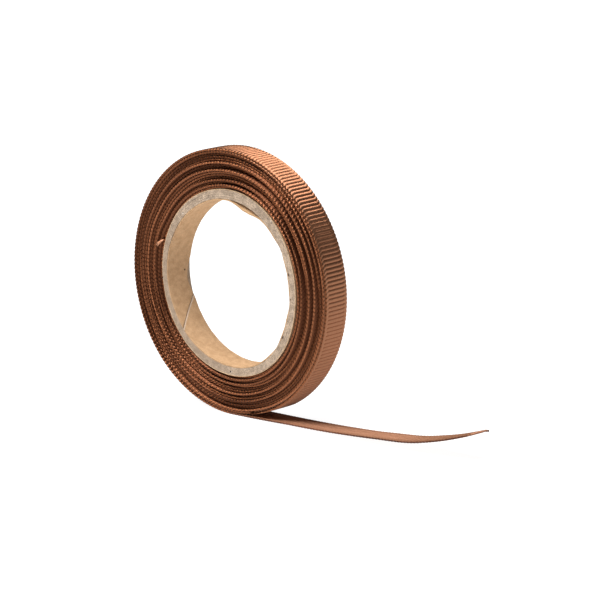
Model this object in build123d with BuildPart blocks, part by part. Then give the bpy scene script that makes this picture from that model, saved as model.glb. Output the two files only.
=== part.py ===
"""A small roll of ribbed (grosgrain) ribbon on a spiral-wound paperboard core.

The roll stands on its edge.  Its axis is Y, the front face looks along -Y and
+Z is up.  The origin is the centre of the core's bore, midway between the two
faces.  Seen from the front the ribbon winds counter-clockwise from the core
outwards, leaves the roll at the very bottom and runs along +X.

Angles are in degrees, counter-clockwise from +X as seen from the front.
Lengths are in millimetres.
"""
from build123d import *
import math
import os

os.makedirs("parts", exist_ok=True)

# Roll and ribbon
ROLL_RADIUS = 26.9
RIBBON_WIDTH = 6.0
RIBBON_THICKNESS = 0.42
INNER_TURNS = 15

# Paperboard core, from its bore outwards
CORE_BORE_RADIUS = 16.66
CORE_WIDTH = RIBBON_WIDTH
LINER_THICKNESS = 0.25
BOARD_PLIES = 4
BOARD_THICKNESS = 0.40
OUTER_PLY_THICKNESS = 0.15
GLUE_LINE = 0.02

# Each ply is a strip wound as a helix, so its two edges meet in a slanted seam
SEAM_GAP = 0.22
SEAM_LEAN = -41.0
LINER_SEAM_ANGLE = -148.5
SEAM_STEP = 137.0

# Adhesive tape that holds the ribbon's inner end on the core
TAPE_THICKNESS = 0.08
TAPE_WIDTH = 5.0
TAPE_SWEEP = 22.0
TAPE_CLEARANCE = 0.01

# Where the ribbon begins, and where one turn hands over to the next
INNER_END_ANGLE = 160.0
TURN_BREAK_ANGLE = 282.0
LEAVING_ANGLE = 270.0
FULL_TURN = 360.0
HALF_TURN = 180.0

# The outermost turn slides round the turns below it
RUNNING_GAP = 0.12

# Free tail: height of each point of its route over the standing surface,
# measured to the ribbon's underside, against its distance from the roll's foot
TAIL_ROUTE = [(0.0, 0.0), (19.0, 0.0), (38.0, 0.9), (52.0, 2.2), (63.0, 6.2)]
ARC_SHARE = 0.45
CREASE_X = 22.0
CREASE_GAP = 0.5


def on_circle(radius, angle):
    """Point in the roll's section at this radius and angle."""
    return (radius * math.cos(math.radians(angle)), radius * math.sin(math.radians(angle)))


def save(piece, name):
    """Label the finished piece and write it to its own STEP file."""
    piece.part.label = name
    export_step(piece.part, f"parts/{name}.step")


def core_ply(name, inner_radius, thickness, seam_angle):
    """One paper ply of the core: a ring with the slanted seam of its helix."""
    with BuildPart() as ply:
        with BuildSketch(Plane.XZ):
            Circle(inner_radius + thickness)
            Circle(inner_radius, mode=Mode.SUBTRACT)
        extrude(amount=CORE_WIDTH / 2, both=True)
        x, z = on_circle(1, seam_angle)
        with BuildSketch(Plane(origin=(0, 0, 0), x_dir=(0, 1, 0), z_dir=(x, 0, z))):
            Rectangle(2 * CORE_WIDTH, SEAM_GAP, rotation=SEAM_LEAN)
        extrude(amount=ROLL_RADIUS, mode=Mode.SUBTRACT)
    save(ply, name)


def band(name, inner_radius, thickness, width, start_angle, sweep_angle):
    """A strip of constant radius wrapped about the roll's axis."""
    with BuildPart() as strip:
        with BuildSketch(Plane.XZ):
            with BuildLine():
                inner = CenterArc((0, 0), inner_radius, start_angle, sweep_angle)
                outer = CenterArc((0, 0), inner_radius + thickness, start_angle, sweep_angle)
                Line(inner @ 0, outer @ 0)
                Line(inner @ 1, outer @ 1)
            make_face()
        extrude(amount=width / 2, both=True)
    save(strip, name)


def spiral_arcs(radius, pitch, start_angle):
    """The arcs of a spiral from start_angle to the next turn break.

    radius is the spiral's radius at the break where its turn ends.  Each half
    turn is one arc, and the two centres lie a quarter of the pitch either side
    of the axis, so the arcs meet without a kink and the radius grows by one
    pitch a turn.
    """
    near = on_circle(pitch / 4, TURN_BREAK_ANGLE)
    far = on_circle(-pitch / 4, TURN_BREAK_ANGLE)
    half_way = TURN_BREAK_ANGLE - HALF_TURN
    last_arc_start = max(start_angle, half_way)
    arcs = []
    if start_angle < half_way:
        arcs.append(CenterArc(far, radius - 3 * pitch / 4, start_angle, half_way - start_angle))
    arcs.append(
        CenterArc(near, radius - pitch / 4, last_arc_start, TURN_BREAK_ANGLE - last_arc_start)
    )
    return arcs


def ribbon_turn(name, end_radius, pitch, start_angle):
    """One turn of ribbon, from start_angle to the turn break."""
    with BuildPart() as turn:
        with BuildSketch(Plane.XZ):
            with BuildLine():
                inner = spiral_arcs(end_radius, pitch, start_angle)
                outer = spiral_arcs(end_radius + RIBBON_THICKNESS, pitch, start_angle)
                Line(inner[0] @ 0, outer[0] @ 0)
                Line(inner[-1] @ 1, outer[-1] @ 1)
            make_face()
        extrude(amount=RIBBON_WIDTH / 2, both=True)
    save(turn, name)


# --- Core ------------------------------------------------------------------
ply_radius = CORE_BORE_RADIUS
core_ply("core_liner", ply_radius, LINER_THICKNESS, LINER_SEAM_ANGLE)
ply_radius += LINER_THICKNESS + GLUE_LINE
for ply_number in range(1, BOARD_PLIES + 1):
    seam_angle = LINER_SEAM_ANGLE + ply_number * SEAM_STEP
    core_ply(f"core_board_ply_{ply_number}", ply_radius, BOARD_THICKNESS, seam_angle)
    ply_radius += BOARD_THICKNESS + GLUE_LINE
outer_seam_angle = LINER_SEAM_ANGLE + (BOARD_PLIES + 1) * SEAM_STEP
core_ply("core_outer_ply", ply_radius, OUTER_PLY_THICKNESS, outer_seam_angle)
core_radius = ply_radius + OUTER_PLY_THICKNESS

# --- Ribbon wound on the core -------------------------------------------------
band(
    "start_tape",
    core_radius + TAPE_CLEARANCE,
    TAPE_THICKNESS,
    TAPE_WIDTH,
    INNER_END_ANGLE,
    TAPE_SWEEP,
)
first_radius = core_radius + TAPE_THICKNESS + 2 * TAPE_CLEARANCE
outer_turn_radius = ROLL_RADIUS - RIBBON_THICKNESS
last_radius = outer_turn_radius - RUNNING_GAP - RIBBON_THICKNESS
lead_in_angle = math.radians(TURN_BREAK_ANGLE - INNER_END_ANGLE)
lead_in_rise = (1 - math.cos(lead_in_angle)) / 4
turn_pitch = (last_radius - first_radius) / (INNER_TURNS + lead_in_rise)

lead_in_radius = first_radius + lead_in_rise * turn_pitch
ribbon_turn("ribbon_inner_end", lead_in_radius, turn_pitch, INNER_END_ANGLE)
for turn_number in range(1, INNER_TURNS + 1):
    turn_radius = lead_in_radius + turn_number * turn_pitch
    turn_start = TURN_BREAK_ANGLE - FULL_TURN
    ribbon_turn(f"ribbon_turn_{turn_number:02d}", turn_radius, turn_pitch, turn_start)

# --- Outermost turn, which slides round the roll as the ribbon is drawn off ----------
band(
    "ribbon_outer_turn",
    outer_turn_radius,
    RIBBON_THICKNESS,
    RIBBON_WIDTH,
    TURN_BREAK_ANGLE,
    LEAVING_ANGLE + FULL_TURN - TURN_BREAK_ANGLE,
)

# --- Free tail -------------------------------------------------------------------
tail_mid_height = RIBBON_THICKNESS / 2 - ROLL_RADIUS
tail_points = [(x, height + tail_mid_height) for x, height in TAIL_ROUTE]
tail_radii = []
for before, corner, after in zip(tail_points, tail_points[1:], tail_points[2:]):
    run_in = Vector(*corner) - Vector(*before)
    run_out = Vector(*after) - Vector(*corner)
    turn = math.radians(run_in.get_angle(run_out))
    tail_radii.append(ARC_SHARE * min(run_in.length, run_out.length) / math.tan(turn / 2))

with BuildPart() as tail:
    with BuildLine(Plane.XZ) as tail_path:
        FilletPolyline(*tail_points, radius=tail_radii)
    with BuildSketch(Plane(origin=(0, 0, tail_mid_height), x_dir=(0, 1, 0), z_dir=(1, 0, 0))):
        Rectangle(RIBBON_WIDTH, RIBBON_THICKNESS)
    sweep(path=tail_path.wires()[0])
tail_length = tail_path.wires()[0].length
print("tail arc radii", [round(radius, 1) for radius in tail_radii])
print(f"tail length {tail_length:.2f}")
print(f"tail volume {tail.part.volume:.2f}")
print(f"section x length {RIBBON_WIDTH * RIBBON_THICKNESS * tail_length:.2f}")

# The tail lifts at one crease, and its two halves stop short of it.
with BuildPart() as tail_start:
    add(tail.part)
    split(bisect_by=Plane.YZ.offset(CREASE_X - CREASE_GAP / 2), keep=Keep.BOTTOM)
save(tail_start, "ribbon_tail_start")

with BuildPart() as tail_end:
    add(tail.part)
    split(bisect_by=Plane.YZ.offset(CREASE_X + CREASE_GAP / 2), keep=Keep.TOP)
save(tail_end, "ribbon_tail_end")

wound_length = 0.0
for turn_number in range(INNER_TURNS):
    mean_radius = lead_in_radius + (turn_number + 0.5) * turn_pitch + RIBBON_THICKNESS / 2
    wound_length += 2 * math.pi * mean_radius
print(f"core radius {core_radius:.2f}, turn pitch {turn_pitch:.4f}")
print(f"length of ribbon in the inner turns {wound_length:.0f}")
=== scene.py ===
"""Looks of a small roll of grosgrain ribbon on a paperboard core.

Everything is in metres, in the frame of the CAD model: the roll's axis is Y,
its front face looks along -Y, +Z is up and the free tail runs along +X.
Angles round the roll are counter-clockwise from +X as seen from the front.
Sizes named in millimetres are turned into metres by MM.
"""
import math

import bpy
import numpy as np
from mathutils import Matrix, Vector


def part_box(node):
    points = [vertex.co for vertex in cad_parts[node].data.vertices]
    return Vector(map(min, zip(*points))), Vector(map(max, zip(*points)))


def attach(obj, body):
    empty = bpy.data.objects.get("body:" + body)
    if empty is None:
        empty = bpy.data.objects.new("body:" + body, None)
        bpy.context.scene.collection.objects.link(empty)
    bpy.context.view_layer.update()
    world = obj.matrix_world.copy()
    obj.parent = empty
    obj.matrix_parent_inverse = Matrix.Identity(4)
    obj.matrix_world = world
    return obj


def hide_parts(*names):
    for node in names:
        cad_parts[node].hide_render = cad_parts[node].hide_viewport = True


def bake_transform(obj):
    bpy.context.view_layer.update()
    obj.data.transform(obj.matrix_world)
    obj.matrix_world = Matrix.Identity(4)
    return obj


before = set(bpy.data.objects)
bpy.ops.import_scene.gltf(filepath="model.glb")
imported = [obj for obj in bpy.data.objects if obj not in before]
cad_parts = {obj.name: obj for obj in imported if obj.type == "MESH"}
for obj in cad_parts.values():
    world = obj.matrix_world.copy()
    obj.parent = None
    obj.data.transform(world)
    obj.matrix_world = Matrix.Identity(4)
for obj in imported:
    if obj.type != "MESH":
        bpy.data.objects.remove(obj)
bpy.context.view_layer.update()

MM = 0.001
FULL_TURN = 2 * math.pi

# ---------------------------------------------------------------------------
# Sizes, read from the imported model
# ---------------------------------------------------------------------------


def radial_span(node):
    """Smallest and largest distance of a CAD node's vertices from the roll's axis."""
    points = np.array([v.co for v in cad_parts[node].data.vertices])
    radii = np.hypot(points[:, 0], points[:, 2])
    return float(radii.min()), float(radii.max())


def turn_node(number):
    """CAD node of this wound turn, counted from the core outwards."""
    return f"ribbon_turn_{number:02d}"


def ply_node(number):
    """CAD node of this board ply, counted from the bore outwards."""
    return f"core_board_ply_{number}"


INNER_TURNS = sum(name.startswith("ribbon_turn_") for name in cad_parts)
BOARD_PLIES = sum(name.startswith("core_board_ply_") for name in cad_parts)

outer_turn_low, roll_radius = radial_span("ribbon_outer_turn")
thickness = roll_radius - outer_turn_low
box_low, box_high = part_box("ribbon_outer_turn")
ribbon_width = box_high.y - box_low.y
floor_height = box_low.z
last_turn_high = radial_span(turn_node(INNER_TURNS))[1]
turn_pitch = (last_turn_high - radial_span(turn_node(1))[1]) / (INNER_TURNS - 1)
first_break_radius = last_turn_high - thickness / 2 - INNER_TURNS * turn_pitch

# ---------------------------------------------------------------------------
# Camera: a long lens, at the viewing angle of the photograph
#
# The frame's middle lies AIM_RIGHT to the right of the roll's centre and AIM_UP
# above it, in metres.  The lens is in millimetres.
# ---------------------------------------------------------------------------
CAMERA_AZIMUTH = math.radians(44.37)
CAMERA_ELEVATION = math.radians(12.01)
CAMERA_ROLL = math.radians(-1.64)
CAMERA_DISTANCE = 0.5966
CAMERA_LENS = 180.6
SENSOR_WIDTH = 36
FAR_CLIP = 20
AIM_RIGHT = 0.01211
AIM_UP = -0.00366


def make_camera():
    """A camera that looks past the roll's centre, which lies left of the frame's middle."""
    right = Vector((math.cos(CAMERA_AZIMUTH), math.sin(CAMERA_AZIMUTH), 0))
    back = Vector(
        (
            math.sin(CAMERA_AZIMUTH) * math.cos(CAMERA_ELEVATION),
            -math.cos(CAMERA_AZIMUTH) * math.cos(CAMERA_ELEVATION),
            math.sin(CAMERA_ELEVATION),
        )
    )
    upright = Matrix((right, back.cross(right), back)).transposed()
    turned = upright @ Matrix.Rotation(CAMERA_ROLL, 3, "Z")
    data = bpy.data.cameras.new("camera")
    data.lens = CAMERA_LENS
    data.sensor_width = SENSOR_WIDTH
    data.clip_end = FAR_CLIP
    camera = bpy.data.objects.new("camera", data)
    camera.matrix_world = turned.to_4x4()
    camera.location = turned @ Vector((AIM_RIGHT, AIM_UP, CAMERA_DISTANCE))
    bpy.context.scene.collection.objects.link(camera)
    bpy.context.scene.camera = camera


# ---------------------------------------------------------------------------
# Mesh and material helpers
# ---------------------------------------------------------------------------
WEAVE_MAP = "weave"


def mesh_piece(name, points, faces, material, weave=None, smooth_shaded=True, **values):
    """A mesh object.

    weave is each vertex's place on the cloth, in millimetres along and across
    it, and values are further numbers that its material reads, one a vertex.
    """
    mesh = bpy.data.meshes.new(name)
    mesh.from_pydata(points.tolist(), [], faces)
    mesh.polygons.foreach_set("use_smooth", np.full(len(mesh.polygons), smooth_shaded))
    if weave is not None:
        corners = np.empty(len(mesh.loops), np.int32)
        mesh.loops.foreach_get("vertex_index", corners)
        layer = mesh.uv_layers.new(name=WEAVE_MAP)
        layer.data.foreach_set("uv", weave.reshape(-1, 2)[corners].ravel())
    for attribute_name, numbers in values.items():
        attribute = mesh.attributes.new(attribute_name, "FLOAT", "POINT")
        attribute.data.foreach_set("value", np.asarray(numbers, np.float32).ravel())
    mesh.materials.append(material)
    mesh.update()
    piece = bpy.data.objects.new(name, mesh)
    bpy.context.scene.collection.objects.link(piece)
    return piece


def tube_faces(rows, columns):
    """Quads of a tube of rows sections with columns points each, closed at both ends."""
    first = np.arange(rows - 1)[:, None] * columns
    here = first + np.arange(columns)
    beside = first + (np.arange(columns) + 1) % columns
    quads = np.stack([here, beside, beside + columns, here + columns], -1).reshape(-1, 4)
    start_cap = list(range(columns))[::-1]
    end_cap = [(rows - 1) * columns + c for c in range(columns)]
    return [*quads.tolist(), start_cap, end_cap]


class Nodes:
    """A material's node tree, with one call for each thing that the materials below need."""

    def __init__(self, name):
        self.material = bpy.data.materials.new(name)
        self.material.use_nodes = True
        self.tree = self.material.node_tree
        self.shader = self.tree.nodes["Principled BSDF"]

    def add(self, kind, **settings):
        node = self.tree.nodes.new(kind)
        for key, value in settings.items():
            setattr(node, key, value)
        return node

    def link(self, source, target):
        self.tree.links.new(source, target)

    def attribute(self, name):
        """One of the numbers that mesh_piece gives each vertex."""
        return self.add("ShaderNodeAttribute", attribute_name=name).outputs["Fac"]

    def math(self, operation, a, b=0.0, clamp=False):
        node = self.add("ShaderNodeMath", operation=operation, use_clamp=clamp)
        for socket, value in zip(node.inputs, (a, b)):
            if isinstance(value, (int, float)):
                socket.default_value = value
            else:
                self.link(value, socket)
        return node.outputs[0]

    def place(self):
        """The point on the object, in metres."""
        return self.add("ShaderNodeTexCoord").outputs["Object"]

    def scaled(self, vector, scale):
        node = self.add("ShaderNodeMapping")
        node.inputs["Scale"].default_value = scale
        self.link(vector, node.inputs["Vector"])
        return node.outputs[0]

    def noise(self, vector, scale, detail=2.0, roughness=0.5):
        node = self.add("ShaderNodeTexNoise")
        node.inputs["Scale"].default_value = scale
        node.inputs["Detail"].default_value = detail
        node.inputs["Roughness"].default_value = roughness
        self.link(vector, node.inputs["Vector"])
        return node.outputs["Fac"]

    def ramp(self, factor, *stops):
        """A colour ramp with (position, colour) stops."""
        node = self.add("ShaderNodeValToRGB")
        ramp = node.color_ramp
        while len(ramp.elements) < len(stops):
            ramp.elements.new(0.5)
        for element, (position, colour) in zip(ramp.elements, stops):
            element.position = position
            element.color = (*colour, 1)
        self.link(factor, node.inputs["Fac"])
        return node.outputs["Color"]

    def mix(self, factor, a, b, blend_type="MIX"):
        """Two colours mixed; each may be a colour or another node's output."""
        node = self.add("ShaderNodeMix", data_type="RGBA", blend_type=blend_type)
        for name, value in (("Factor", factor), ("A", a), ("B", b)):
            kind = "VALUE" if name == "Factor" else "RGBA"
            socket = next(s for s in node.inputs if s.name == name and s.type == kind)
            if isinstance(value, (int, float)):
                socket.default_value = value
            elif isinstance(value, tuple):
                socket.default_value = (*value, 1)
            else:
                self.link(value, socket)
        return next(s for s in node.outputs if s.type == "RGBA")

    def bump(self, height, strength, distance):
        node = self.add("ShaderNodeBump")
        node.inputs["Strength"].default_value = strength
        node.inputs["Distance"].default_value = distance
        self.link(height, node.inputs["Height"])
        return node.outputs["Normal"]

    def finish(self, colour, roughness, normal, **sockets):
        """The finished material; an underscore in a socket's name stands for a space."""
        self.link(colour, self.shader.inputs["Base Color"])
        if isinstance(roughness, float):
            self.shader.inputs["Roughness"].default_value = roughness
        else:
            self.link(roughness, self.shader.inputs["Roughness"])
        self.link(normal, self.shader.inputs["Normal"])
        for name, value in sockets.items():
            self.shader.inputs[name.replace("_", " ")].default_value = value
        return self.material


# ---------------------------------------------------------------------------
# Materials
# ---------------------------------------------------------------------------


def ribbon_material():
    """Copper-brown woven ribbon: lustrous warp threads laid over thick cross ribs.

    Each vertex says how far it is up a rib (crest), out on the selvedge (edge),
    on a face that another turn presses on (seam), or on the free tail (loose).
    The crest number also carries painted shade between the ribs, and seam
    carries painted shade in the cracks between the turns.
    """
    n = Nodes("grosgrain")
    weave = n.add("ShaderNodeUVMap", uv_map=WEAVE_MAP).outputs["UV"]
    threads = n.noise(n.scaled(weave, (0.9, 14.0, 1.0)), 1.0, 1.0)
    slubs = n.noise(n.scaled(weave, (0.35, 2.2, 1.0)), 1.0, 3.0)
    patches = n.noise(n.scaled(weave, (0.045, 0.2, 1.0)), 1.0, 2.0)

    # The cloth, with thicker threads and duller patches in it
    body = n.ramp(threads, (0.3, (0.40, 0.180, 0.094)), (0.7, (0.48, 0.228, 0.127)))
    body = n.mix(n.math("MULTIPLY", slubs, 0.3), body, (0.54, 0.27, 0.15))
    body = n.mix(n.math("MULTIPLY", patches, 0.3), body, (0.32, 0.13, 0.062))

    # Painted shade between the ribs and in the cracks between the turns, and a darker selvedge
    # tint that is partly the threads' own colour and partly painted shade
    painted_groove_shade = n.ramp(n.attribute("crest"), (0.1, (0.62, 0.50, 0.44)), (0.6, (1.0, 1.0, 1.0)))
    colour = n.mix(1.0, body, painted_groove_shade, "MULTIPLY")
    edge = n.attribute("edge")
    # Darker selvedge tint, varying at random: partly the edge threads' own colour, partly painted
    # shade between the turns
    tones = n.noise(n.scaled(weave, (0.022, 0.06, 1.0)), 1.0, 2.0)
    selvedge_tone_and_shade = n.ramp(tones, (0.40, (0.24, 0.155, 0.105)), (0.62, (0.94, 0.74, 0.60)))
    selvedge_tone_and_shade = n.mix(n.math("MULTIPLY", edge, 1.2, clamp=True), (1.0, 1.0, 1.0), selvedge_tone_and_shade)
    colour = n.mix(1.0, colour, selvedge_tone_and_shade, "MULTIPLY")
    # Painted shade in the cracks between the pressed turns
    painted_crack_shade = n.ramp(n.attribute("seam"), (0.35, (1.0, 1.0, 1.0)), (0.95, (0.50, 0.39, 0.33)))
    colour = n.mix(1.0, colour, painted_crack_shade, "MULTIPLY")

    # The tail's selvedge is darker, and its cloth is less lustrous
    loose = n.attribute("loose")
    hem = n.math("MULTIPLY", n.math("MULTIPLY", loose, edge), 1.3, clamp=True)
    colour = n.mix(hem, colour, (0.34, 0.22, 0.17), "MULTIPLY")
    metal = n.math("ADD", n.math("MULTIPLY", edge, 0.08), 0.92)
    metal = n.math("SUBTRACT", metal, n.math("MULTIPLY", loose, 0.40))
    n.link(metal, n.shader.inputs["Metallic"])

    # Threads in relief, a gritty selvedge, and highlights that follow the weave
    roughness = n.math("SUBTRACT", 0.60, n.math("MULTIPLY", edge, 0.22))
    grit = n.noise(n.place(), 3200.0, 2.0, 0.7)
    height = n.math("ADD", threads, n.math("MULTIPLY", slubs, 0.6))
    height = n.math("ADD", height, n.math("MULTIPLY", n.math("MULTIPLY", grit, edge), 5.0))
    normal = n.bump(height, 0.6, 0.03 * MM)
    thread_line = n.add("ShaderNodeTangent", direction_type="UV_MAP", uv_map=WEAVE_MAP)
    n.link(thread_line.outputs[0], n.shader.inputs["Tangent"])
    return n.finish(
        colour,
        roughness,
        normal,
        Anisotropic=1.0,
        Anisotropic_Rotation=0.25,
        Specular_IOR_Level=0.8,
    )


def thread_material():
    """Loose copper-coloured threads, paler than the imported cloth."""
    n = Nodes("loose_thread")
    weave = n.add("ShaderNodeUVMap", uv_map=WEAVE_MAP).outputs["UV"]
    ply = n.noise(n.scaled(weave, (3.0, 1.0, 1.0)), 1.0, 2.0)
    colour = n.ramp(ply, (0.3, (0.50, 0.21, 0.10)), (0.7, (0.74, 0.37, 0.20)))
    return n.finish(colour, 0.45, n.bump(ply, 0.3, 0.03 * MM), Specular_IOR_Level=0.6)


# Towards the core's darker side, at the left and bottom.  It is 65 long, which sets the ramp's
# scale.
DARKER_SIDE = (-60, 0, -25)


def paper_material(name, light, dark, speck, speck_share, fibre, spots=(), left_bottom_darkening=0.0):
    """Paper or board: cloudy pulp, short fibres and darker specks.

    A fibre below 1 draws the fibres out along the core's axis.
    Each spot is a dark nick: its centre and its radius.  left_bottom_darkening is how
    much darker the side at the left and bottom is.  A vertex's skived number
    says how much paler it is beside the seam.
    """
    n = Nodes(name)
    place = n.place()
    clouds = n.noise(place, 900.0, 4.0, 0.6)
    fibres = n.noise(n.scaled(place, (1.0, fibre, 1.0)), 2600.0, 3.0, 0.65)
    grains = n.noise(place, 5200.0, 2.0, 0.7)
    colour = n.ramp(clouds, (0.36, dark), (0.64, light))
    colour = n.mix(n.math("MULTIPLY", fibres, 0.5), colour, light)
    low, high = 0.60 - speck_share, 0.66 - speck_share
    specks = n.ramp(grains, (low, (0.0, 0.0, 0.0)), (high, (1.0, 1.0, 1.0)))
    colour = n.mix(n.math("MULTIPLY", specks, 0.55), colour, speck)
    # Darker towards the left and bottom of the core
    if left_bottom_darkening:
        side = n.add("ShaderNodeVectorMath", operation="DOT_PRODUCT")
        n.link(place, side.inputs[0])
        side.inputs[1].default_value = DARKER_SIDE
        most = (left_bottom_darkening, left_bottom_darkening, left_bottom_darkening)
        side_darkening = n.ramp(side.outputs["Value"], (0.2, (0.0, 0.0, 0.0)), (0.95, most))
        colour = n.mix(side_darkening, colour, (0.30, 0.215, 0.15))
    for centre, radius in spots:
        away = n.add("ShaderNodeVectorMath", operation="DISTANCE")
        n.link(place, away.inputs[0])
        away.inputs[1].default_value = centre
        reach = n.math("DIVIDE", away.outputs["Value"], 2 * radius)
        mark = n.ramp(reach, (0.35, (0.9, 0.9, 0.9)), (0.6, (0.0, 0.0, 0.0)))
        colour = n.mix(mark, colour, (0.05, 0.03, 0.02))
    # Paler beside the seam
    colour = n.mix(n.math("MULTIPLY", n.attribute("skived"), 0.6), colour, (0.66, 0.56, 0.46))
    height = n.math("ADD", fibres, n.math("MULTIPLY", grains, 0.5))
    normal = n.bump(height, 0.5, 0.04 * MM)
    return n.finish(colour, 0.9, normal, Specular_IOR_Level=0.2)


def tape_material():
    """Clear-brown adhesive tape with fine wrinkles."""
    n = Nodes("adhesive_tape")
    place = n.place()
    wrinkles = n.noise(n.scaled(place, (1.0, 5.0, 1.0)), 700.0, 3.0)
    colour = n.ramp(wrinkles, (0.3, (0.52, 0.42, 0.25)), (0.7, (0.66, 0.56, 0.38)))
    return n.finish(colour, 0.25, n.bump(wrinkles, 0.3, 0.05 * MM))


FLOOR_GLOW = 0.96


def floor_material():
    """The opal top of a light table, lit from below."""
    n = Nodes("light_table")
    grain = n.noise(n.place(), 60.0, 3.0)
    colour = n.ramp(grain, (0.3, (0.21, 0.21, 0.21)), (0.7, (0.23, 0.23, 0.23)))
    return n.finish(
        colour,
        0.95,
        n.bump(grain, 0.02, 0.2 * MM),
        Specular_IOR_Level=0.1,
        Emission_Strength=FLOOR_GLOW,
        Emission_Color=(1, 1, 1, 1),
    )


# ---------------------------------------------------------------------------
# Ribbon
# ---------------------------------------------------------------------------

# Across the ribbon, as distances from its middle: the ribbed field, then a
# groove, then the smoother rim that ends in the selvedge
FIELD_MIDDLE = 1.0 * MM
GROOVE_START = 1.75 * MM
FIELD_END = 1.90 * MM
GROOVE_BOTTOM = 2.12 * MM
RIM_START = 2.35 * MM
RIM_MIDDLE = 2.6 * MM
RIM_GROOVE = 0.07 * MM
RIM_DIP_SHARE = 0.15

# The ribs, and how far the selvedge is set back between them
RIB_PITCH = 0.84 * MM
RIB_DEPTH = 0.105 * MM
RIB_ROUNDNESS = 0.85
RIM_RIB_DEPTH = 0.06 * MM
RIB_SLOPE = 0.02
RIM_HOOK = 0.42 * MM
RIM_HOOK_CURVE = 1.5
EDGE_SCALLOP = 0.06 * MM
PACKED_SCALLOP = 0.11 * MM

# What the material reads: how far the painted shade between the rim's ribs is evened out,
# how much painted shade darkens the dots between them in the groove, and how strong the tail's
# selvedge is
RIM_SHADE_EVENNESS = 0.75
DOT_SHADE = 0.6
FREE_EDGE_TONE = 0.75

# Where a section has points.  A wound turn's faces are hidden but for their rims.
EDGE_STEPS = 4
HIDDEN_HALF = 1.9 * MM
FULL_COLUMNS = [
    0.0, FIELD_MIDDLE, GROOVE_START, FIELD_END, GROOVE_BOTTOM, RIM_START, RIM_MIDDLE,
]
HIDDEN_COLUMNS = [HIDDEN_HALF, GROOVE_BOTTOM, RIM_START, RIM_MIDDLE]
WOUND_STEPS_PER_RIB = 8
OPEN_STEPS_PER_RIB = 10


def rib_skew(across):
    """How far along the ribbon a rib has moved, this far from the ribbon's middle.

    The ribs run nearly square across, and their ends trail off along the selvedges.
    """
    past_field = np.clip((np.abs(across) - FIELD_END) / (ribbon_width / 2 - FIELD_END), 0, 1)
    return RIB_SLOPE * across + RIM_HOOK * np.sign(across) * past_field**RIM_HOOK_CURVE


def outline(columns):
    """The section's outline, anticlockwise: (across, side, edge angle) of each point.

    columns are the distances from the middle at which a face has points, and
    side is +1 on the outer face and -1 on the inner.  The selvedges are
    half-round: there across only says which one it is, -1 or +1, and the edge
    angle is 0 at its tip.  A point on a face has no edge angle.
    """
    spread = sorted({-c for c in columns} | set(columns))
    quarter = [math.pi / 2 - math.pi * k / EDGE_STEPS for k in range(EDGE_STEPS + 1)]
    top = [(c, 1.0, None) for c in reversed(spread)]
    left = [(-1.0, math.sin(a), a) for a in quarter]
    bottom = [(c, -1.0, None) for c in spread]
    right = [(1.0, -math.sin(a), a) for a in quarter]
    return top + left + bottom + right


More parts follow.
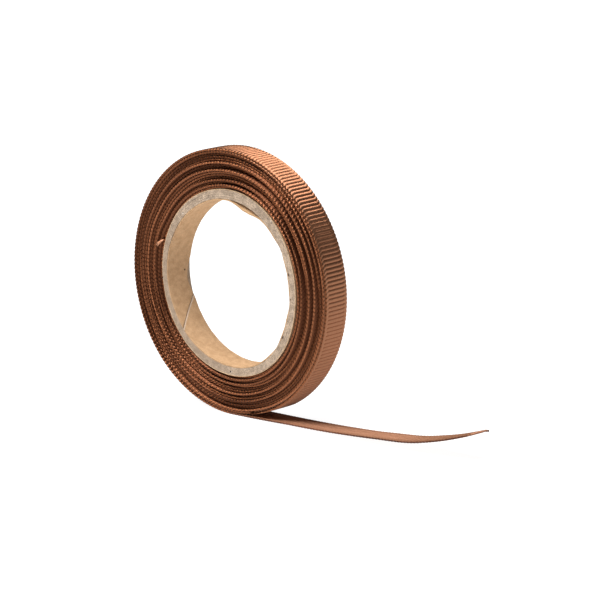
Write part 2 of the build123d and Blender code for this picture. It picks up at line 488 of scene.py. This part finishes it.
def ribbon_strip(name, path, start, end, material, columns, steps_per_rib, **shape):
    """A ribbed ribbon from start to end, as lengths along it, laid on path.

    path(length, across) gives the point midway in the thickness and the outward
    direction.  columns are as in outline.  The shape may have:
    faces(length)  distances of the outer and inner face from that point;
    ribs           share of the rib depth on the field of the outer and inner face;
    packed         1 for the outer and for the inner face if a turn presses on it;
    sag(length)    how far the inner face's hidden middle hangs below the rest;
    swell(length)  how far the outer face's hidden middle stands above the rest.
    """
    faces = shape.get("faces", lambda length: (thickness / 2, thickness / 2))
    outer_ribs, inner_ribs = shape.get("ribs", (1.0, 1.0))
    sag, swell = shape.get("sag"), shape.get("swell")
    outer_packed, inner_packed = shape.get("packed", (0.0, 0.0))
    edge_tone = 1.0 if inner_packed else FREE_EDGE_TONE
    step = RIB_PITCH / steps_per_rib
    inside = np.arange(math.ceil(start / step + 1e-6), math.floor(end / step - 1e-6) + 1) * step
    along = np.concatenate([[start], inside, [end]])
    section = outline(columns)
    is_edge = np.array([a is not None for _, _, a in section])
    across = np.array([0.0 if a is not None else c for c, _, a in section])
    side = np.array([h for _, h, _ in section])
    edge_sign = np.array([c if a is not None else 0.0 for c, _, a in section])
    edge_reach = np.array([math.cos(a) if a is not None else 0.0 for _, _, a in section])
    distance = np.where(is_edge, ribbon_width / 2, np.abs(across))

    crest = np.abs(np.sin(math.pi * along / RIB_PITCH))[:, None] ** RIB_ROUNDNESS
    field_depth = RIB_DEPTH * np.where(side > 0, outer_ribs, inner_ribs)
    rim_share = np.clip((distance - FIELD_END) / (RIM_START - FIELD_END), 0, 1)
    depth = field_depth * (1 - rim_share) + RIM_RIB_DEPTH * rim_share
    dip_at = [GROOVE_START, GROOVE_BOTTOM, RIM_START]
    dip = RIM_GROOVE * np.interp(distance, dip_at, [0, 1, RIM_DIP_SHARE])

    rough_across = np.where(is_edge, edge_sign * ribbon_width / 2, across)[None, :]
    lengthwise = along[:, None] + rib_skew(rough_across)
    outer_half, inner_half = faces(lengthwise)
    half = (outer_half + inner_half) / 2 - depth * (1 - crest) - dip
    scallop = PACKED_SCALLOP if inner_packed else EDGE_SCALLOP
    reach = ribbon_width / 2 - scallop * (1 - crest)
    wide = np.where(is_edge, edge_sign * (reach - half * (1 - edge_reach)), rough_across)
    height = (outer_half - inner_half) / 2 + half * side
    if sag is not None:
        height = height - sag(lengthwise) * ((distance <= HIDDEN_HALF) & (side < 0))
    if swell is not None:
        height = height + swell(lengthwise) * ((distance <= HIDDEN_HALF) & (side > 0))
    middle, outward = path(lengthwise, wide)
    points = middle + outward * height[..., None]
    rows, count = wide.shape
    # Weight of the painted shade between the ribs: less on the rim, more on the dots in the rim's
    # groove
    groove_shade_weight = 1 - RIM_SHADE_EVENNESS * rim_share + DOT_SHADE * dip / RIM_GROOVE
    # Painted shade in the cracks between turns: on faces that another turn presses on, away from
    # the selvedge's tip
    crack_shade = np.where(side > 0, outer_packed, inner_packed) * (1 - edge_reach)
    return mesh_piece(
        name,
        points.reshape(-1, 3),
        tube_faces(rows, count),
        material,
        weave=np.stack([lengthwise, wide], -1) / MM,
        crest=1 - (1 - crest) * groove_shade_weight,
        edge=np.broadcast_to(edge_tone * edge_reach, wide.shape),
        seam=np.broadcast_to(crack_shade, wide.shape),
        loose=np.full(wide.shape, 0.0 if inner_packed else 1.0),
    )


# How far each turn stands forward of the roll's middle, from the lead-in
# outwards, in units of SHIFT_DEPTH millimetres.  Over the last share of a turn,
# SHIFT_HANDOVER, the ribbon slides to the next value.  It also waves a little by
# SHIFT_WAVE, and its inner end is set back by END_RECESS, both in millimetres.
TURN_SHIFT = [
    0.05, -0.35, 0.20, -0.45, 0.25, -0.50, -0.25, -0.05, 0.30,
    -0.45, -0.10, 0.30, -0.25, -0.05, -0.30, 0.05, 0.0,
]
SHIFT_HANDOVER = 0.35
SHIFT_DEPTH = 1.3
SHIFT_WAVE = 0.09
SLOW_WAVES_PER_TURN = 2.3
FAST_WAVES_PER_TURN = 5.7
FAST_WAVE_SHARE = 0.7
FAST_WAVE_PHASE = 1.0
END_RECESS = 0.8
END_RECESS_TURNS = 0.10


def smooth(share):
    """Zero below 0, one above 1, and an eased step between."""
    share = np.clip(share, 0, 1)
    return share * share * (3 - 2 * share)


def turn_shift(turns):
    """How far forward the ribbon stands after this many turns from the first break."""
    whole = np.floor(turns)
    blend = smooth((turns - whole - (1 - SHIFT_HANDOVER)) / SHIFT_HANDOVER)
    values = SHIFT_DEPTH * np.array(TURN_SHIFT)
    here = values[np.clip(whole.astype(int) + 1, 0, len(values) - 1)]
    after = values[np.clip(whole.astype(int) + 2, 0, len(values) - 1)]
    fast_wave = np.sin(FAST_WAVES_PER_TURN * FULL_TURN * turns + FAST_WAVE_PHASE)
    wave = np.sin(SLOW_WAVES_PER_TURN * FULL_TURN * turns) + FAST_WAVE_SHARE * fast_wave
    settle = np.clip(INNER_TURNS - turns, 0, 1)
    recess = END_RECESS * (1 - smooth((turns + lead_in_turns) / END_RECESS_TURNS))
    return ((1 - blend) * here + blend * after + SHIFT_WAVE * wave * settle - recess) * MM


DEPARTURE_ANGLE = 1.5 * math.pi
ANGLE_MARGIN = 0.01


def break_angle():
    """Angle at which one turn hands over to the next: where the outer turn begins.

    In the CAD model the outer turn begins a little past the roll's foot and ends
    at the foot, where the ribbon departs.
    """
    points = np.array([v.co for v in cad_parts["ribbon_outer_turn"].data.vertices])
    angles = np.arctan2(points[:, 2], points[:, 0]) % FULL_TURN
    return float(angles[angles > DEPARTURE_ANGLE + ANGLE_MARGIN].min())


BREAK_ANGLE = break_angle()
INNER_END_ANGLE = math.radians(160)

# Radii between which the turns are wound, and the play of the outermost turn
WOUND_PLAY_IN = 0.005 * MM
WOUND_PLAY_OUT = 0.06 * MM
core_radius = radial_span("core_outer_ply")[1]
wound_low = core_radius + WOUND_PLAY_IN
wound_top = outer_turn_low - WOUND_PLAY_OUT
SLIP = 0.014 * MM

# Half of a wound turn's thickness as a share of its pitch, and how far its
# middle sinks into the turn below
PRESSED = 0.494
PRESS_IN = 0.03 * MM

# Each list of humps says (angle, reach, amount), with the angle and the reach
# to either side in degrees.  The core is pressed out of round: it bulges
# outwards and lifts the wound turns, and its wall is crushed thinner from the
# bore where the amount is above 0, and is thicker where it is below.
CORE_BULGES = [(60, 48, 0.45 * MM), (307, 48, 0.32 * MM)]
BORE_DENTS = [
    (302, 52, 0.55 * MM), (20, 75, 0.30 * MM), (225, 45, -0.15 * MM), (130, 40, -0.15 * MM),
]


def humps(angle, places):
    """The sum of eased humps at this angle, which is in radians."""
    total = np.zeros_like(angle)
    for centre, reach, amount in places:
        away = np.abs((angle - math.radians(centre) + math.pi) % FULL_TURN - math.pi)
        total = total + amount * smooth(1 - away / math.radians(reach))
    return total


def core_bulge(angle):
    """How far the outside of the core stands out at this angle."""
    return humps(angle, CORE_BULGES)


# The turns lie in rings, with one ring more where the lead-in is under them.
# Each turn climbs by a ring over a short ramp that ends above the inner end,
# and after each break the rings spread out again.
lead_in_turns = (BREAK_ANGLE - INNER_END_ANGLE) / FULL_TURN
CLIMB_AFTER_BREAK = 0.09
CLIMB_TO_LEAD_IN = 0.045


def length_of_turns(turns):
    """Length of ribbon from the first break to this many turns on, below 0 before it."""
    return FULL_TURN * (first_break_radius * turns + turn_pitch * turns**2 / 2)


def turns_of_length(length):
    """The inverse of length_of_turns."""
    grown = np.sqrt(first_break_radius**2 + 2 * turn_pitch * length / FULL_TURN)
    return (grown - first_break_radius) / turn_pitch


def lay(turns):
    """Middle radius of the ribbon after this many turns, and the pitch of the layers there."""
    on_lead_in = smooth((turns % 1 - 1 + lead_in_turns) / CLIMB_TO_LEAD_IN + 1)
    on_lead_in = np.where(turns < 0, 1.0, on_lead_in)
    whole = np.where(turns < 0, -1.0, np.floor(turns))
    after_break = 1 - smooth((turns - whole) / CLIMB_AFTER_BREAK)
    layers = INNER_TURNS + np.maximum(on_lead_in, after_break)
    pitch = (wound_top - wound_low) / layers
    return wound_low + pitch * (whole + 0.5 + on_lead_in), pitch


def wound_path(length, across):
    """Point and outward direction on the wound ribbon."""
    turns = turns_of_length(length)
    angle = BREAK_ANGLE + FULL_TURN * turns
    outward = np.stack([np.cos(angle), np.zeros_like(angle), np.sin(angle)], -1)
    radius = lay(turns)[0]
    radius = radius + core_bulge(angle) * (wound_top - radius) / (wound_top - wound_low)
    middle = outward * radius[..., None]
    middle[..., 1] = across - turn_shift(turns)
    return middle, outward


def wound_faces(length):
    """The wound turns press together, so each is nearly as thick as their pitch."""
    turns = turns_of_length(length)
    angle = BREAK_ANGLE + FULL_TURN * turns
    half = PRESSED * lay(turns)[1] * (1 - core_bulge(angle) / (wound_top - wound_low))
    return half, half


def wound_sag(length):
    """Each turn's middle sinks a little into the turn below, so no light passes.

    The first turn's middle also fills the wedge under it where it climbs the
    lead-in.
    """
    turns = turns_of_length(length)
    middle, pitch = lay(turns)
    gap = middle - PRESSED * pitch - wound_low
    return PRESS_IN + np.maximum(gap, 0) * ((turns >= 0) & (turns < 1 - lead_in_turns))


def last_turn_swell(length):
    """The last turn's middle fills the wedge between it and the outermost turn."""
    middle, pitch = lay(turns_of_length(length))
    return np.maximum(wound_top - middle - PRESSED * pitch, 0)


wound_length = length_of_turns(INNER_TURNS)
outer_turn_radius = roll_radius - thickness / 2
outer_turn_sweep = DEPARTURE_ANGLE + FULL_TURN - BREAK_ANGLE
outer_turn_length = outer_turn_radius * outer_turn_sweep
TUCK_LENGTH = 7 * MM
TUCK_SHARE = 0.22
UNTUCK_LENGTH = 5 * MM
LEFT_BULGE = 0.30 * MM
RIGHT_LEAN = 0.15 * MM
SHIFT_RISE = 0.5
SHIFT_FALL = 0.9


def outer_shift(angle):
    """How far back the outermost turn stands: it bulges forward on the left.

    The shift sets in over SHIFT_RISE radians and ends over SHIFT_FALL.
    """
    to_end = DEPARTURE_ANGLE + FULL_TURN - angle
    inside = smooth((angle - BREAK_ANGLE) / SHIFT_RISE) * smooth(to_end / SHIFT_FALL)
    lean = np.where(np.cos(angle) < 0, LEFT_BULGE, RIGHT_LEAN) * np.cos(angle)
    return lean * inside


def outer_path(length, across):
    """Point and outward direction on the outermost turn, which is a true circle."""
    angle = BREAK_ANGLE + (length - wound_length) / outer_turn_radius
    outward = np.stack([np.cos(angle), np.zeros_like(angle), np.sin(angle)], -1)
    middle = outward * outer_turn_radius
    middle[..., 1] = across + outer_shift(angle)
    return middle, outward


def outer_faces(length):
    """The outermost turn lies on the turn under it.

    It thins to a tuck where it begins, and is back at the tail's thickness
    where it leaves the roll.
    """
    deep = outer_turn_radius - wound_top - SLIP
    to_end = (wound_length + outer_turn_length - length) / UNTUCK_LENGTH
    inner = thickness / 2 + (deep - thickness / 2) * np.clip(to_end, 0, 1)
    share = TUCK_SHARE + (1 - TUCK_SHARE) * np.clip((length - wound_length) / TUCK_LENGTH, 0, 1)
    return share * (thickness / 2 + inner) - inner, inner


# Route of the free tail in millimetres: distance from the roll's foot, and
# height of the ribbon's underside over the floor, as in the CAD model
TAIL_ROUTE = [(0.0, 0.0), (19.0, 0.0), (38.0, 0.9), (52.0, 2.2), (63.0, 6.2)]
TAIL_SAMPLES = 64
TAIL_DRAW_IN = 0.9 * MM

# How far the tail is twisted about its front selvedge, in degrees, and lifted,
# in millimetres, at distances along it in millimetres
TAIL_TWISTS = [
    (0, 0), (6, -1), (16, -2.8), (28, -2.4), (36, -2.8), (45, -1.2), (52, 0.0), (58, -0.8),
    (64, -1.2),
]
TAIL_LIFTS = [
    (0, 0), (6, 0.05), (16, 0.19), (28, 0.10), (40, 0.04), (46, -0.12), (52, -0.35), (58, -0.6),
    (64, -0.8),
]


def tail_line():
    """Points along the tail's smooth line, from the route's NURBS spline."""
    data = bpy.data.curves.new("tail_route", "CURVE")
    data.dimensions = "3D"
    spline = data.splines.new("NURBS")
    spline.points.add(len(TAIL_ROUTE) - 1)
    for point, (x, height) in zip(spline.points, TAIL_ROUTE):
        point.co = (x * MM, 0, floor_height + thickness / 2 + height * MM, 1)
    spline.order_u = 3
    spline.use_endpoint_u = True
    data.resolution_u = TAIL_SAMPLES
    holder = bpy.data.objects.new("tail_route", data)
    bpy.context.scene.collection.objects.link(holder)
    bpy.context.view_layer.update()
    mesh = bpy.data.meshes.new_from_object(holder)
    points = np.array([v.co for v in mesh.vertices])
    bpy.data.meshes.remove(mesh)
    bpy.data.objects.remove(holder)
    bpy.data.curves.remove(data)
    return points


def make_tail(material):
    """The free tail, laid along its route, twisted and lifted along it and drawn in a little."""
    line = tail_line()
    lengths = np.concatenate([[0], np.cumsum(np.linalg.norm(np.diff(line, axis=0), axis=1))])
    total = float(lengths[-1])
    tangents = np.gradient(line, lengths, axis=0)
    tangents /= np.linalg.norm(tangents, axis=1)[:, None]
    start = wound_length + outer_turn_length

    def tail_path(length, across):
        here = length - start
        middle = np.stack([np.interp(here, lengths, line[:, k]) for k in range(3)], -1)
        middle[..., 0] += np.minimum(here, 0) + np.maximum(here - total, 0)
        tangent = np.stack([np.interp(here, lengths, tangents[:, k]) for k in range(3)], -1)
        twist = np.radians(np.interp(here / MM, *zip(*TAIL_TWISTS)))
        lift = np.interp(here / MM, *zip(*TAIL_LIFTS)) * MM
        inward = np.stack([-tangent[..., 2], np.zeros_like(here), tangent[..., 0]], -1)
        middle[..., 0] -= TAIL_DRAW_IN * smooth(here / total)
        middle[..., 1] += across * np.cos(twist)
        middle[..., 2] += (across + ribbon_width / 2) * np.sin(twist) + lift
        return middle, -inward

    tail = ribbon_strip(
        "ribbon_tail",
        tail_path,
        start,
        start + total,
        material,
        FULL_COLUMNS,
        OPEN_STEPS_PER_RIB,
    )
    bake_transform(tail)
    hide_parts("ribbon_tail_start", "ribbon_tail_end")


def make_ribbon(material):
    """The wound turns, the outermost turn and the tail."""
    lead_in = ribbon_strip(
        "ribbon_lead_in",
        wound_path,
        length_of_turns(-lead_in_turns),
        0.0,
        material,
        HIDDEN_COLUMNS,
        WOUND_STEPS_PER_RIB,
        faces=wound_faces,
        ribs=(0.0, 0.0),
        packed=(1.0, 1.0),
        sag=wound_sag,
    )
    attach(lead_in, "roll")
    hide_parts("ribbon_inner_end")
    for number in range(1, INNER_TURNS + 1):
        is_last = number == INNER_TURNS
        turn = ribbon_strip(
            f"ribbon_wound_{number:02d}",
            wound_path,
            length_of_turns(number - 1),
            length_of_turns(number),
            material,
            FULL_COLUMNS if is_last else HIDDEN_COLUMNS,
            WOUND_STEPS_PER_RIB,
            faces=wound_faces,
            ribs=(1.0 if is_last else 0.0, 0.0),
            packed=(0.0 if is_last else 1.0, 1.0),
            sag=wound_sag,
            swell=last_turn_swell if is_last else None,
        )
        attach(turn, "roll")
        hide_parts(turn_node(number))
    outer = ribbon_strip(
        "ribbon_outermost",
        outer_path,
        wound_length,
        wound_length + outer_turn_length,
        material,
        FULL_COLUMNS,
        OPEN_STEPS_PER_RIB,
        faces=outer_faces,
        ribs=(1.0, 0.0),
        packed=(0.0, 1.0),
    )
    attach(outer, "outer_turn")
    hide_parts("ribbon_outer_turn")
    make_tail(material)


# ---------------------------------------------------------------------------
# Core
# ---------------------------------------------------------------------------
SEAM_ANGLE = math.radians(-151.5)
SEAM_STEP = math.radians(137)
SEAM_LEAN = math.radians(-47)
SEAM_GAP = 0.22 * MM
PALE_SEAM_WIDTH = 0.3 * MM
CORE_ROWS = 480
LINER_COLUMNS = 12
PLY_COLUMNS = 3

# Wear of the core, as (angle, reach, amount).  At PEEL the liner's front edge
# curls into the bore over PEEL_WIDTH, and its two edges are worn away at
# TORN_BACK and WORN_FRONT.  At FLARE the bore widens towards the front.
PEEL = [(70, 19, 0.95 * MM)]
PEEL_WIDTH = 1.9 * MM
PEEL_CURVE = 1.6
FLARE = [(180, 80, 0.65 * MM), (234, 40, 0.35 * MM)]
TORN_BACK = [(185, 18, 1.0 * MM), (20, 12, 0.25 * MM), (300, 16, 0.35 * MM)]
WORN_FRONT = [
    (30, 10, 0.30 * MM), (352, 9, 0.25 * MM), (318, 8, 0.30 * MM), (150, 14, 0.15 * MM),
]

# Raggedness of the plies' edges and of the peeled liner: (step in degrees, depth)
EDGE_FINE = (2.5, 0.05 * MM)
EDGE_COARSE = (11, 0.05 * MM)
EDGE_TORN = (3, 0.06 * MM)
PEEL_ROUGH = (4, 0.05 * MM)

core_low, core_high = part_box("core_liner")
bore_radius = radial_span("core_liner")[0]
random = np.random.default_rng(11)


def ragged(angle, step, depth):
    """Irregular depth round the circle, with a new random value each step degrees."""
    count = round(360 / step)
    values = random.uniform(0, depth, count)
    looped = np.append(values, values[0])
    return np.interp((angle / FULL_TURN % 1) * count, np.arange(count + 1), looped)


def core_ring(name, node, seam_number, material, columns, peeled=False):
    """One ply of the core, wound as a helix, so that its ends meet in a slanted seam.

    columns is how many points it has across its width, and peeled gives it the
    wear of the liner.
    """
    low, high = radial_span(node)
    seam = SEAM_ANGLE + seam_number * SEAM_STEP
    seam_half = SEAM_GAP / 2 / math.cos(SEAM_LEAN) / low
    share = np.linspace(0, 1, columns)
    share = np.concatenate([share[::-1], share])[None, :]
    is_outer = np.arange(2 * columns) < columns
    turned = np.linspace(seam_half, FULL_TURN - seam_half, CORE_ROWS)[:, None]
    flat_y = core_low.y + (core_high.y - core_low.y) * share
    angle = seam + turned + flat_y * math.tan(SEAM_LEAN) / low
    front = core_low.y + ragged(angle, *EDGE_FINE) + ragged(angle, *EDGE_COARSE)
    back = core_high.y - ragged(angle, *EDGE_FINE) - ragged(angle, *EDGE_COARSE)
    if peeled:
        front = front + humps(angle, WORN_FRONT) + ragged(angle, *EDGE_TORN)
        back = back - humps(angle, TORN_BACK) - ragged(angle, *EDGE_TORN)
    y = front + (back - front) * share
    radius = np.where(is_outer, high, low) + np.zeros_like(angle)
    in_wall = (radius - bore_radius) / (core_radius - bore_radius)
    inside = humps(angle, BORE_DENTS) + humps(angle, FLARE) * (1 - share)
    radius = radius + (1 - in_wall) * inside + in_wall * core_bulge(angle)
    if peeled:
        near_front = np.clip((core_low.y + PEEL_WIDTH - y) / PEEL_WIDTH, 0, 1) ** PEEL_CURVE
        radius = radius - near_front * (humps(angle, PEEL) + ragged(angle, *PEEL_ROUGH))
    points = np.stack([radius * np.cos(angle), y, radius * np.sin(angle)], -1)
    # The ply is paler beside the seam for half of PALE_SEAM_WIDTH, which fades out over one width
    # more
    from_seam = (turned - seam_half) * low / PALE_SEAM_WIDTH
    ring = mesh_piece(
        name,
        points.reshape(-1, 3),
        tube_faces(CORE_ROWS, 2 * columns),
        material,
        smooth_shaded=False,
        skived=np.broadcast_to(np.clip(1.5 - from_seam, 0, 1), angle.shape),
    )
    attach(ring, "roll")
    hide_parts(node)


def make_core():
    """The paperboard core: a kraft liner, grey board plies and a kraft cover."""
    liner = paper_material(
        "kraft_liner",
        light=(0.57, 0.36, 0.20),
        dark=(0.42, 0.25, 0.125),
        speck=(0.32, 0.19, 0.095),
        speck_share=0.02,
        fibre=0.35,
        spots=LINER_SPOTS,
        left_bottom_darkening=0.10,
    )
    board = paper_material(
        "grey_board",
        light=(0.58, 0.44, 0.32),
        dark=(0.30, 0.22, 0.155),
        speck=(0.15, 0.12, 0.10),
        speck_share=0.10,
        fibre=0.6,
        spots=BOARD_SPOTS,
        left_bottom_darkening=0.55,
    )
    cover = paper_material(
        "kraft_cover",
        light=(0.66, 0.47, 0.30),
        dark=(0.52, 0.35, 0.20),
        speck=(0.40, 0.26, 0.15),
        speck_share=0.02,
        fibre=0.35,
    )
    core_ring("core_lining", "core_liner", 0, liner, LINER_COLUMNS, peeled=True)
    for number in range(1, BOARD_PLIES + 1):
        name = f"core_board_{number}"
        core_ring(name, ply_node(number), number, board, PLY_COLUMNS)
    last = BOARD_PLIES + 1
    core_ring("core_cover", "core_outer_ply", last, cover, PLY_COLUMNS)


def dress_start_tape():
    """The hidden tape keeps its CAD shape, and only gets its material."""
    tape_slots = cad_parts["start_tape"].data.materials
    tape_slots.clear()
    tape_slots.append(tape_material())


def on_roll(degrees, radius, y):
    """The point at this angle in degrees, with its radius and y in millimetres."""
    angle = math.radians(degrees)
    return (radius * math.cos(angle) * MM, y * MM, radius * math.sin(angle) * MM)


# Dark nicks in the core's front face and in its bore: (centre, radius)
BOARD_SPOTS = [(on_roll(12.3, 17.33, -2.95), 0.32 * MM), (on_roll(-31.1, 17.27, -2.9), 0.40 * MM)]
LINER_SPOTS = [(on_roll(180, 16.66, 1.36), 0.22 * MM)]

# ---------------------------------------------------------------------------
# Frayed inner end
# ---------------------------------------------------------------------------
STRAND_SIDES = 5
STRAND_ROWS = 7
STRAND_COUNT = 13
STRAND_RADIUS = 0.075 * MM
STRAND_TAPER = 0.5
NOT_ALONG_A_STRAND = (0.31, 0.24, 0.92)


def make_strands(name, body, routes, radius, material):
    """Loose threads, each a thin tube that tapers along the curve of its route.

    A route has three points: the curve's two ends, and between them the point
    that it bends towards.
    """
    points, faces, weave = [], [], []
    for route in routes:
        a, b, c = (np.array(p) for p in route)
        t = np.linspace(0, 1, STRAND_ROWS)[:, None]
        line = (1 - t) ** 2 * a + 2 * t * (1 - t) * b + t**2 * c
        forward = np.gradient(line, axis=0)
        forward /= np.linalg.norm(forward, axis=1)[:, None]
        side = np.cross(forward, NOT_ALONG_A_STRAND)
        side /= np.linalg.norm(side, axis=1)[:, None]
        up = np.cross(forward, side)
        turned = (FULL_TURN * np.arange(STRAND_SIDES) / STRAND_SIDES)[:, None]
        thin = radius * (1 - STRAND_TAPER * t[:, 0])
        ring = side[:, None] * np.cos(turned) + up[:, None] * np.sin(turned)
        tube = line[:, None] + ring * thin[:, None, None]
        start = sum(len(p) for p in points)
        strand_faces = tube_faces(len(line), STRAND_SIDES)
        faces += [[index + start for index in face] for face in strand_faces]
        points.append(tube.reshape(-1, 3))
        weave.append(np.repeat(np.concatenate([t * 2, t * 0], -1), STRAND_SIDES, axis=0))
    piece = mesh_piece(
        name,
        np.concatenate(points),
        faces,
        material,
        weave=np.concatenate(weave),
    )
    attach(piece, body)


def make_frayed_end(material):
    """Threads that stand out at the ribbon's inner end, fanned out by their numbers."""
    routes = []
    for k in range(STRAND_COUNT):
        spread = k / (STRAND_COUNT - 1)
        root = on_roll(159.8 + 0.3 * (k % 3), 19.35 + 0.25 * spread, -2.75)
        bend = on_roll(161.6 + 0.5 * (k % 2), 19.65 + 0.4 * spread, -3.5 - 0.1 * (k % 4))
        tip = on_roll(163.8 + 0.5 * (k % 3) - 0.6 * spread, 19.9 + 0.6 * spread, -3.45)
        routes.append((root, bend, tip))
    make_strands("inner_end_threads", "roll", routes, STRAND_RADIUS, material)


# ---------------------------------------------------------------------------
# Stage
# ---------------------------------------------------------------------------
FLOOR_SIZE = 4.0


def make_floor():
    """The surface that the roll stands on."""
    half = FLOOR_SIZE / 2
    corners = [(-half, -half), (half, -half), (half, half), (-half, half)]
    points = np.array([(x, y, floor_height) for x, y in corners])
    floor = mesh_piece("floor", points, [[0, 1, 2, 3]], floor_material())


# Angles in degrees.  The backdrop is HORIZON_LEVEL bright up to HORIZON_TOP and
# SKY_LEVEL from SKY_START up, and paler towards (RIGHT_WARD, BACK_WARD).
SUN_TILT = 22.0
SUN_LEAN = -7.0
SUN_SPREAD = 42.0
SUN_POWER = 5.3
HORIZON_LEVEL = 0.35
RIGHT_WARD = 0.7
BACK_WARD = 0.7
SKY_LEVEL = 0.06
HORIZON_TOP = 10.0
SKY_START = 24.0


def make_lights():
    """One wide soft light overhead, and a backdrop that darkens upwards.

    The backdrop is palest on the right and at the back.
    """
    data = bpy.data.lights.new("overhead", "SUN")
    data.energy = SUN_POWER
    data.angle = math.radians(SUN_SPREAD)
    light = bpy.data.objects.new("overhead", data)
    light.rotation_euler = (math.radians(SUN_TILT), math.radians(SUN_LEAN), 0)
    bpy.context.scene.collection.objects.link(light)
    world = bpy.data.worlds.new("studio")
    world.use_nodes = True
    tree = world.node_tree
    direction = tree.nodes.new("ShaderNodeTexCoord")
    split = tree.nodes.new("ShaderNodeSeparateXYZ")
    fade = tree.nodes.new("ShaderNodeMapRange")
    fade.inputs["From Min"].default_value = math.sin(math.radians(HORIZON_TOP))
    fade.inputs["From Max"].default_value = math.sin(math.radians(SKY_START))
    fade.inputs["To Min"].default_value = HORIZON_LEVEL
    fade.inputs["To Max"].default_value = SKY_LEVEL
    tree.links.new(direction.outputs["Generated"], split.inputs[0])
    tree.links.new(split.outputs["Z"], fade.inputs["Value"])
    side = tree.nodes.new("ShaderNodeVectorMath")
    side.operation = "DOT_PRODUCT"
    side.inputs[1].default_value = (RIGHT_WARD, BACK_WARD, 0)
    tree.links.new(direction.outputs["Generated"], side.inputs[0])
    level = tree.nodes.new("ShaderNodeMath")
    level.operation = "MULTIPLY_ADD"
    tree.links.new(side.outputs["Value"], level.inputs[0])
    tree.links.new(fade.outputs["Result"], level.inputs[1])
    tree.links.new(fade.outputs["Result"], level.inputs[2])
    tree.links.new(level.outputs[0], tree.nodes["Background"].inputs["Strength"])
    tree.nodes["Background"].inputs["Color"].default_value = (1, 1, 1, 1)
    bpy.context.scene.world = world
    bpy.context.scene.view_settings.view_transform = "Standard"


# ---------------------------------------------------------------------------
# The whole scene
# ---------------------------------------------------------------------------
make_camera()
make_floor()
make_lights()
cloth = ribbon_material()
make_ribbon(cloth)
make_frayed_end(thread_material())
make_core()
dress_start_tape()
